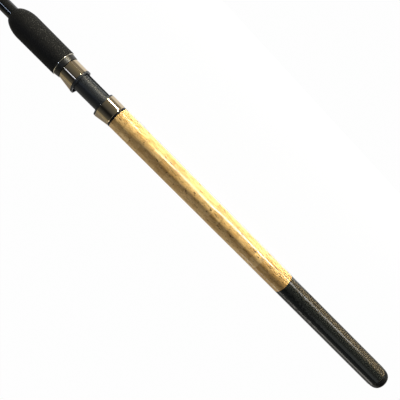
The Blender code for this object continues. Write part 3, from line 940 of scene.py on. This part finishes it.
def makeCollar(size):
    start, end = span("nut_collar")
    outline = [
        (start, size["tailBore"]),
        (start, size["rearRadius"]),
        (end, size["frontRadius"]),
        (end, size["nutBore"]),
        (start + size["groove"], size["nutBore"]),
        (start + size["groove"], size["tailBore"]),
    ]
    piece = turnTube("nutCollar", outline, size["edge"], size["sides"])
    dress(piece, "black_anodised", "foregrip", "nut_collar")


makeCollar(collar)

trimRing = {"radius": 0.0139, "bore": 0.0122, "edge": 0.0002, "sides": 128}

makePipe("trimRing", "bright_metal", "foregrip", "nut_trim_ring", trimRing)

foregrip = {
    "radius": 0.0145,
    "edge": 0.0007,
    "bore": 0.0122,
    "noseLength": 0.0176,
    "noseBore": 0.00745,
    "noseTip": 0.0078,
    "fullness": 0.72,
    "steps": 40,
    "sides": 128,
    "nutGap": 0.0003,
}


def makeForegrip(size):
    start, end = span("foregrip_foam")
    step = span("lock_nut")[1] + size["nutGap"]
    outline = [(start, size["bore"]), (start, size["radius"])]
    base = end - size["noseLength"]
    for index in range(size["steps"]):
        share = math.sin(math.pi / 2 * index / size["steps"])
        full = (1 - share ** 2) ** size["fullness"]
        radius = size["noseTip"] + (size["radius"] - size["noseTip"]) * full
        outline.append((base + size["noseLength"] * share, radius))
    outline += [(end, size["noseTip"]), (end, size["noseBore"])]
    outline += [(step, size["noseBore"]), (step, size["bore"])]
    piece = turnTube("foregripFoam", outline, size["edge"], size["sides"])
    dress(piece, "black_foam", "foregrip", "foregrip_foam")


makeForegrip(foregrip)

# The threaded sleeve is hidden in the foam, so its CAD node stays
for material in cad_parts["lock_nut"].material_slots:
    material.material = finishes["satin_black_plastic"].material
print("foregrip made")

# Blank, ferrule and whippings
blank = {
    "buttRadius": 0.00725,
    "tipRadius": 0.0062,
    "wall": 0.0013,
    "taperStart": 0.4150,
    "shoulder": 1.119,
    "edge": 0.0002,
}


def blankRadius(distance):
    share = max(0.0, distance - blank["taperStart"]) / (blank["shoulder"] - blank["taperStart"])
    return blank["buttRadius"] + share * (blank["tipRadius"] - blank["buttRadius"])


def makeBlank(size):
    start, end = span("butt_blank")
    bore = size["buttRadius"] - size["wall"]
    outline = [
        (start, bore),
        (start, size["buttRadius"]),
        (size["taperStart"], size["buttRadius"]),
        (end, size["tipRadius"]),
        (end, size["tipRadius"] - size["wall"]),
        (size["taperStart"], bore),
    ]
    piece = turnTube("buttBlank", outline, size["edge"])
    dress(piece, "lacquered_carbon", "handle_and_blank", "butt_blank")


makeBlank(blank)

spigot = {"root": 0.0046, "tip": 0.00435, "edge": 0.0008}


def makeSpigot(size):
    start, end = span("ferrule_spigot")
    outline = [(start, size["root"]), (blank["shoulder"], size["root"]), (end, size["tip"])]
    piece = turnSolid("ferruleSpigot", outline, size["edge"])
    dress(piece, "lacquered_carbon", "handle_and_blank", "ferrule_spigot")


makeSpigot(spigot)

ferruleWhipping = {
    "thickness": 0.0005,
    "gap": 0.0003,
    "clearance": 0.00003,
    "ramp": 0.0020,
    "rampSteps": 5,
    "edge": 0.0001,
}


def makeFerruleWhipping(size):
    start, end = span("ferrule_whipping")
    low = blankRadius(start) + size["clearance"]
    high = blankRadius(end) + size["clearance"]
    lift = size["thickness"] + size["gap"]
    outline = [(start, low), (start, low + lift / 3)]
    for step in range(1, size["rampSteps"] + 1):
        share = step / size["rampSteps"]
        rise = math.sin(math.pi / 2 * share)
        outline.append((start + size["ramp"] * share, low + lift * (1 / 3 + 2 / 3 * rise)))
    outline += [(end - lift / 2, high + lift), (end, high + lift / 2), (end, high)]
    piece = turnTube("ferruleWhipping", outline, size["edge"])
    dress(piece, "lacquered_thread", "handle_and_blank", "ferrule_whipping")


makeFerruleWhipping(ferruleWhipping)

# Line guide: a wire hoop on struts and two feet, with a ceramic ring
guide = {
    "distance": 0.984,
    "standoff": 0.0230,
    "ringRadius": 0.0145,
    "wireRadius": 0.0010,
    "strutRadius": 0.0009,
    "wireSides": 20,
    "strutAngle": math.radians(75),
    "strutBevel": 6,
    "strutSteps": 10,
    "knee": 0.0020,
    "footSpread": 0.016,
    "footLength": 0.018,
    "footWidth": 0.0028,
    "footThickness": 0.0011,
    "footEdge": 0.0002,
    "groundShare": 0.6,
    "groundTip": 0.0004,
    "gap": 0.0003,
    "smoothAngle": 35.0,
    "linerRadial": 0.0017,
    "linerLength": 0.0032,
    "linerEdge": 0.42,
}


def strut(name, spots, size):
    bpy.ops.object.select_all(action="DESELECT")
    bpy.ops.curve.primitive_bezier_curve_add(location=(0.0, 0.0, 0.0))
    piece = bpy.context.object
    piece.name = name
    line = piece.data.splines[0]
    line.bezier_points.add(len(spots) - 2)
    for point, spot in zip(line.bezier_points, spots):
        point.co = spot
        point.handle_left_type = "AUTO"
        point.handle_right_type = "AUTO"
    piece.data.bevel_depth = size["strutRadius"]
    piece.data.bevel_resolution = size["strutBevel"]
    piece.data.resolution_u = size["strutSteps"]
    piece.data.use_fill_caps = True
    bpy.ops.object.convert(target="MESH")
    return bpy.context.object


def makeGuide(size):
    at = size["distance"]
    offset = blankRadius(at) + size["standoff"]
    hoopRadius = size["ringRadius"] - size["wireRadius"]
    bpy.ops.object.select_all(action="DESELECT")
    bpy.ops.mesh.primitive_torus_add(
        major_segments=roundSides, minor_segments=size["wireSides"],
        major_radius=hoopRadius, minor_radius=size["wireRadius"],
        location=(-at, -offset, 0.0), rotation=(0.0, math.pi / 2, 0.0),
    )
    guideFrame = bpy.context.object
    guideFrame.name = "guideFrame"
    bpy.ops.object.transform_apply(location=True, rotation=True, scale=True)
    under = -blankRadius(at - size["footSpread"]) - size["gap"]
    over = under - size["footThickness"]
    middle = (under + over) / 2
    half = size["footWidth"] / 2
    feet = {}
    for name, turn in (("rear", -1), ("front", 1)):
        near = at + turn * size["footSpread"]
        far = near + turn * size["footLength"]
        foot = boxTool("foot", (-max(near, far), over, -half), (-min(near, far), under, half))
        bpy.ops.object.mode_set(mode="EDIT")
        shape = bmesh.from_edit_mesh(foot.data)
        for vertex in shape.verts:
            if abs(vertex.co.x + far) < nearly:  # the far end is ground down
                vertex.co.z *= size["groundShare"]
                vertex.co.y = under - size["groundTip"] if vertex.co.y < middle else under
        bmesh.update_edit_mesh(foot.data)
        bpy.ops.object.mode_set(mode="OBJECT")
        softenEdges(foot, size["footEdge"], segments=2)
        combine(guideFrame, "UNION", foot)
        feet[name] = near
    wire = size["wireRadius"]
    knee = size["knee"]
    near = feet["front"]
    spots = [
        (-near - wire, middle, 0.0),
        (-near + knee, middle - knee, 0.0),
        (-at, hoopRadius - offset, 0.0),
    ]
    combine(guideFrame, "UNION", strut("frontStrut", spots, size))
    near = feet["rear"]
    for side in (-1, 1):
        sideways = side * hoopRadius * math.sin(size["strutAngle"])
        out = hoopRadius * math.cos(size["strutAngle"]) - offset
        spots = [
            (-near + wire, middle, side * half / 3),
            (-near - knee, middle - knee, side * half),
            (-at, out, sideways),
        ]
        combine(guideFrame, "UNION", strut("rearStrut", spots, size))
    smoothByAngle(guideFrame, size["smoothAngle"])
    dress(guideFrame, "dark_chrome", "handle_and_blank", "guide_frame")

    outer = hoopRadius - size["wireRadius"] - size["gap"] / 3
    inner = outer - size["linerRadial"]
    halfLength = size["linerLength"] / 2
    low, high = at - halfLength, at + halfLength
    outline = [(low, outer), (high, outer), (high, inner), (low, inner)]
    ring = ringAt("guideRing", *outline[0], roundSides, centre=(-offset, 0.0))
    drawOn(outline, (-offset, 0.0))
    bridgeEnds()
    leaveEdit()
    softenEdges(ring, size["linerRadial"] * size["linerEdge"], segments=6)
    dress(ring, "grey_ceramic", "handle_and_blank", "guide_ring")


makeGuide(guide)

# Whippings over the guide's feet: wound over the foot, then out onto the bare blank
footWhipping = {
    "setback": 0.004,
    "overrun": 0.004,
    "thickness": 0.0005,
    "gap": 0.0003,
    "lead": 0.0004,
    "turnedIn": 0.4,
    "footSteps": 4,
    "bareSteps": 6,
    "past": 0.002,
    "boreShare": 0.9,
    "smoothAngle": 50.0,
}


def makeFootWhipping(name, node, turn, size):
    near = guide["distance"] + turn * (guide["footSpread"] + size["setback"])
    footEnd = guide["distance"] + turn * (guide["footSpread"] + guide["footLength"])
    far = footEnd + turn * size["overrun"]
    bare = blankRadius(min(near, far)) + size["gap"]
    radius = bare + size["thickness"]
    lobe = guide["footWidth"]
    tall = blankRadius(guide["distance"] - guide["footSpread"]) + guide["footThickness"]
    reach = tall + 2 * size["gap"] + 2 * size["thickness"]
    stations = [near, near + turn * size["lead"]]
    for low, high, steps in ((near, footEnd, size["footSteps"]), (footEnd, far, size["bareSteps"])):
        stations += [low + (high - low) * step / steps for step in range(1, steps + 1)]
    wrap = ringAt(name, near, radius, roundSides, "NGON")
    drawOn([(station, radius) for station in stations])
    shape = bmesh.from_edit_mesh(wrap.data)
    for vertex in shape.verts:
        distance = -vertex.co.x
        share = min(1.0, max(0.0, (far - distance) / (far - footEnd)))
        share = share * share * (3 - 2 * share)
        atEnd = min(abs(distance - near), abs(distance - far)) < nearly
        out = outward(vertex)
        if lobe + out.y * (lobe - reach) > radius:
            vertex.co += share * (out * (lobe - radius) + Vector((0.0, lobe - reach, 0.0)))
        if atEnd:
            vertex.co -= out * size["thickness"] * size["turnedIn"]
    bmesh.update_edit_mesh(wrap.data)
    leaveEdit()
    bore = bare - size["gap"] * size["boreShare"]
    low, high = min(near, far) - size["past"], max(near, far) + size["past"]
    combine(wrap, "DIFFERENCE", turnedTool(name + "Bore", [(low, bore), (high, bore)]))
    smoothByAngle(wrap, size["smoothAngle"])
    dress(wrap, "lacquered_thread", "handle_and_blank", node)


makeFootWhipping("guideWhippingRear", "guide_whipping_rear", -1, footWhipping)
makeFootWhipping("guideWhippingFront", "guide_whipping_front", 1, footWhipping)
print("blank, guide and ferrule made")

# Floor: pale, and lifted to near white where it is seen straight. Reflections see it white close to
# the rod only, and dim further off and on the butt grip's spine side.
floor = {
    "level": -0.0146,
    "size": 90.0,
    "colour": (0.90, 0.90, 0.89),
    "white": (1.0, 1.0, 1.0),
    "distant": (0.30, 0.285, 0.26),
    "reach": (0.030, 0.047),
    "cardFrom": (-0.155, -0.125),
    "cardSide": (0.0, 0.006),
    "lift": 0.985,
    "bounce": 0.95,
}


def seenRays(sheet):
    path = sheet.node("ShaderNodeLightPath").socket.node.outputs
    kinds = ("Is Camera Ray", "Is Glossy Ray", "Is Transmission Ray")
    return [Signal(sheet, path[kind]) for kind in kinds]


def makeFloor(size):
    bpy.ops.object.select_all(action="DESELECT")
    bpy.ops.mesh.primitive_plane_add(size=size["size"], location=(0.0, 0.0, size["level"]))
    ground = bpy.context.object
    ground.name = "floor"
    material = bpy.data.materials.new("paleFloor")
    material.use_nodes = True
    sheet = Sheet(material.node_tree)
    sheet.tree.nodes.remove(sheet.tree.nodes["Principled BSDF"])
    matt = sheet.node("ShaderNodeBsdfDiffuse", {}, {"Color": size["colour"]})
    camera, glossy, through = seenRays(sheet)
    mirrored = sheet.maths("MAXIMUM", glossy, through)
    along, sideways = sheet.axes(sheet.node("ShaderNodeTexCoord", {}, {}, 3))[:2]
    away = sheet.fade(sheet.maths("ABSOLUTE", sideways), *size["reach"])
    card = sheet.fade(along, *size["cardFrom"]) * sheet.fade(sideways, *size["cardSide"])
    dim = mirrored * sheet.maths("MAXIMUM", away, card)
    tone = sheet.blend(dim, size["white"], size["distant"])
    glow = sheet.node("ShaderNodeEmission", {}, {"Color": tone, "Strength": 1.0})
    seen = sheet.maths("MAXIMUM", camera, mirrored)
    share = seen * (size["lift"] - size["bounce"]) + size["bounce"]
    mixed = sheet.node("ShaderNodeMixShader", {}, {0: share, 1: matt, 2: glow})
    output = sheet.tree.nodes["Material Output"]
    sheet.plug(output.inputs["Surface"], mixed)
    ground.data.materials.append(material)


makeFloor(floor)

# Room: bands round the rod's axis, by the angle from straight up, positive towards the spine side,
# over a pale horizon. What only fills the shadows comes mostly from the reel side.
room = {
    "bands": [
        (-90, (0.35, 0.34, 0.26)),
        (-66, (0.39, 0.36, 0.28)),
        (-58, (0.13, 0.13, 0.11)),
        (-44, (0.088, 0.092, 0.092)),
        (-24, (0.034, 0.038, 0.045)),
        (-12, (0.014, 0.016, 0.019)),
        (0, (0.014, 0.016, 0.019)),
        (20, (0.096, 0.100, 0.104)),
        (50, (0.168, 0.168, 0.152)),
        (74, (0.27, 0.256, 0.208)),
        (90, (0.27, 0.256, 0.208)),
    ],
    "horizon": (0.985, 0.985, 0.98),
    "reelFill": (0.73, 0.74, 0.76),
    "spineFill": (0.0, 0.0, 0.0),
    "fillFrom": -0.90,
    "fillTo": 0.45,
    "paleReach": 1.60,
    "mirroredReach": 0.03,
    "levelShare": 0.25,
}


def makeRoom(size):
    world = bpy.data.worlds.new("room")
    bpy.context.scene.world = world
    world.use_nodes = True
    sheet = Sheet(world.node_tree)
    sideways, up = sheet.axes(sheet.node("ShaderNodeTexCoord", {}, {}, 0))[1:]
    angle = sheet.maths("ARCTAN2", sideways, up) / math.pi + 0.5
    stops = [((degrees + 90) / 180, colour) for degrees, colour in size["bands"]]
    bands = sheet.node("ShaderNodeValToRGB", {"stops": stops}, {"Fac": angle})
    camera, glossy, through = seenRays(sheet)
    reach = camera * (size["paleReach"] - size["mirroredReach"]) + size["mirroredReach"]
    level = reach * size["levelShare"]
    shown = sheet.blend(sheet.fade(up, level, reach), size["horizon"], bands)
    side = sheet.fade(sideways, size["fillFrom"], size["fillTo"])
    fill = sheet.blend(side, size["reelFill"], size["spineFill"])
    share = sheet.maths("MAXIMUM", sheet.maths("MAXIMUM", camera, glossy), through)
    sheet.plug(sheet.tree.nodes["Background"].inputs["Color"], sheet.blend(share, fill, shown))


makeRoom(room)

# Lamps: a long low key on the spine side gives the light. The others only show in reflections: a
# window for the seat, a panel and a pale sky for the handle, soft ones overhead and a rim. Each lamp
# faces the rod's axis straight across, or the level given with it.
lamps = {
    "key": {
        "place": (-0.59, 0.15, -0.009),
        "aimHeight": -0.009,
        "size": (1.70, 0.010),
        "power": 3.3,
        "colour": (1.0, 0.96, 0.76),
        "mirrored": False,
    },
    "window": {
        "place": (-0.637, 1.40, 0.100),
        "size": (0.25, 0.22),
        "power": 4.4,
        "colour": (1.0, 0.90, 0.66),
    },
    "panel": {
        "place": (-0.05, 1.331, 0.433),
        "size": (0.74, 0.15),
        "power": 22.0,
        "colour": (1.0, 0.98, 0.94),
    },
    "sky": {
        "place": (0.60, 1.385, 0.24),
        "size": (0.56, 0.26),
        "power": 4.2,
        "colour": (0.90, 0.94, 1.0),
    },
    "overhead": {
        "place": (0.80, -0.11, 1.30),
        "size": (0.50, 0.66),
        "power": 0.9,
        "colour": (0.94, 1.0, 0.96),
    },
    "gleam": {
        "place": (-0.855, 0.065, 1.30),
        "size": (0.13, 0.12),
        "power": 0.19,
        "colour": (0.52, 0.64, 1.0),
    },
    "strip": {
        "place": (-1.40, -0.02, 1.30),
        "size": (0.50, 0.10),
        "power": 3.2,
        "colour": (0.62, 0.76, 1.0),
    },
    "rim": {
        "place": (0.66, -1.34, 0.36),
        "size": (1.00, 0.40),
        "power": 2.6,
        "colour": (1.0, 0.96, 0.90),
    },
}


def makeLamp(name, size):
    bpy.ops.object.select_all(action="DESELECT")
    bpy.ops.object.light_add(type="AREA", location=size["place"])
    lamp = bpy.context.object
    lamp.name = name
    lamp.data.shape = "RECTANGLE"
    lamp.data.size, lamp.data.size_y = size["size"]
    lamp.data.energy = size["power"]
    lamp.data.color = size["colour"]
    away, height = size["place"][1:]
    back = Vector((0.0, away, height - size.get("aimHeight", 0.0))).normalized()
    along = Vector((1.0, 0.0, 0.0))
    lamp.rotation_euler = Matrix((along, back.cross(along), back)).transposed().to_euler()
    lamp.visible_camera = False
    lamp.visible_glossy = size.get("mirrored", True)
    lamp.visible_diffuse = not lamp.visible_glossy


for lampName, lampSize in lamps.items():
    makeLamp(lampName, lampSize)

# Camera: above the handle, on its spine side, turned so that the rod runs across the picture
view = {
    "aim": (-0.2925, 0.0, 0.0),
    "shiftToSpine": 0.00015,
    "distance": 0.446,
    "lean": -0.119,
    "rise": 25.0,
    "turn": 45.0,
    "lens": 37.84,
    "sensor": 36.0,
    "clip": (0.01, 100.0),
}


def makeCamera(size):
    rise = math.radians(size["rise"])
    back = Vector((size["lean"], math.sin(rise), math.cos(rise))).normalized()
    along = (Vector((1.0, 0.0, 0.0)) - back * back.x).normalized()
    across = back.cross(along)
    turn = math.radians(size["turn"])
    right = along * math.cos(turn) + across * math.sin(turn)
    up = back.cross(right)
    aim = Vector(size["aim"]) + across * size["shiftToSpine"]
    bpy.ops.object.camera_add(location=aim + back * size["distance"])
    camera = bpy.context.object
    camera.rotation_euler = Matrix((right, up, back)).transposed().to_euler()
    camera.data.sensor_width = size["sensor"]
    camera.data.lens = size["lens"]
    camera.data.clip_start, camera.data.clip_end = size["clip"]
    bpy.context.scene.camera = camera


makeCamera(view)
bpy.context.scene.view_settings.view_transform = "Standard"
print("studio set")
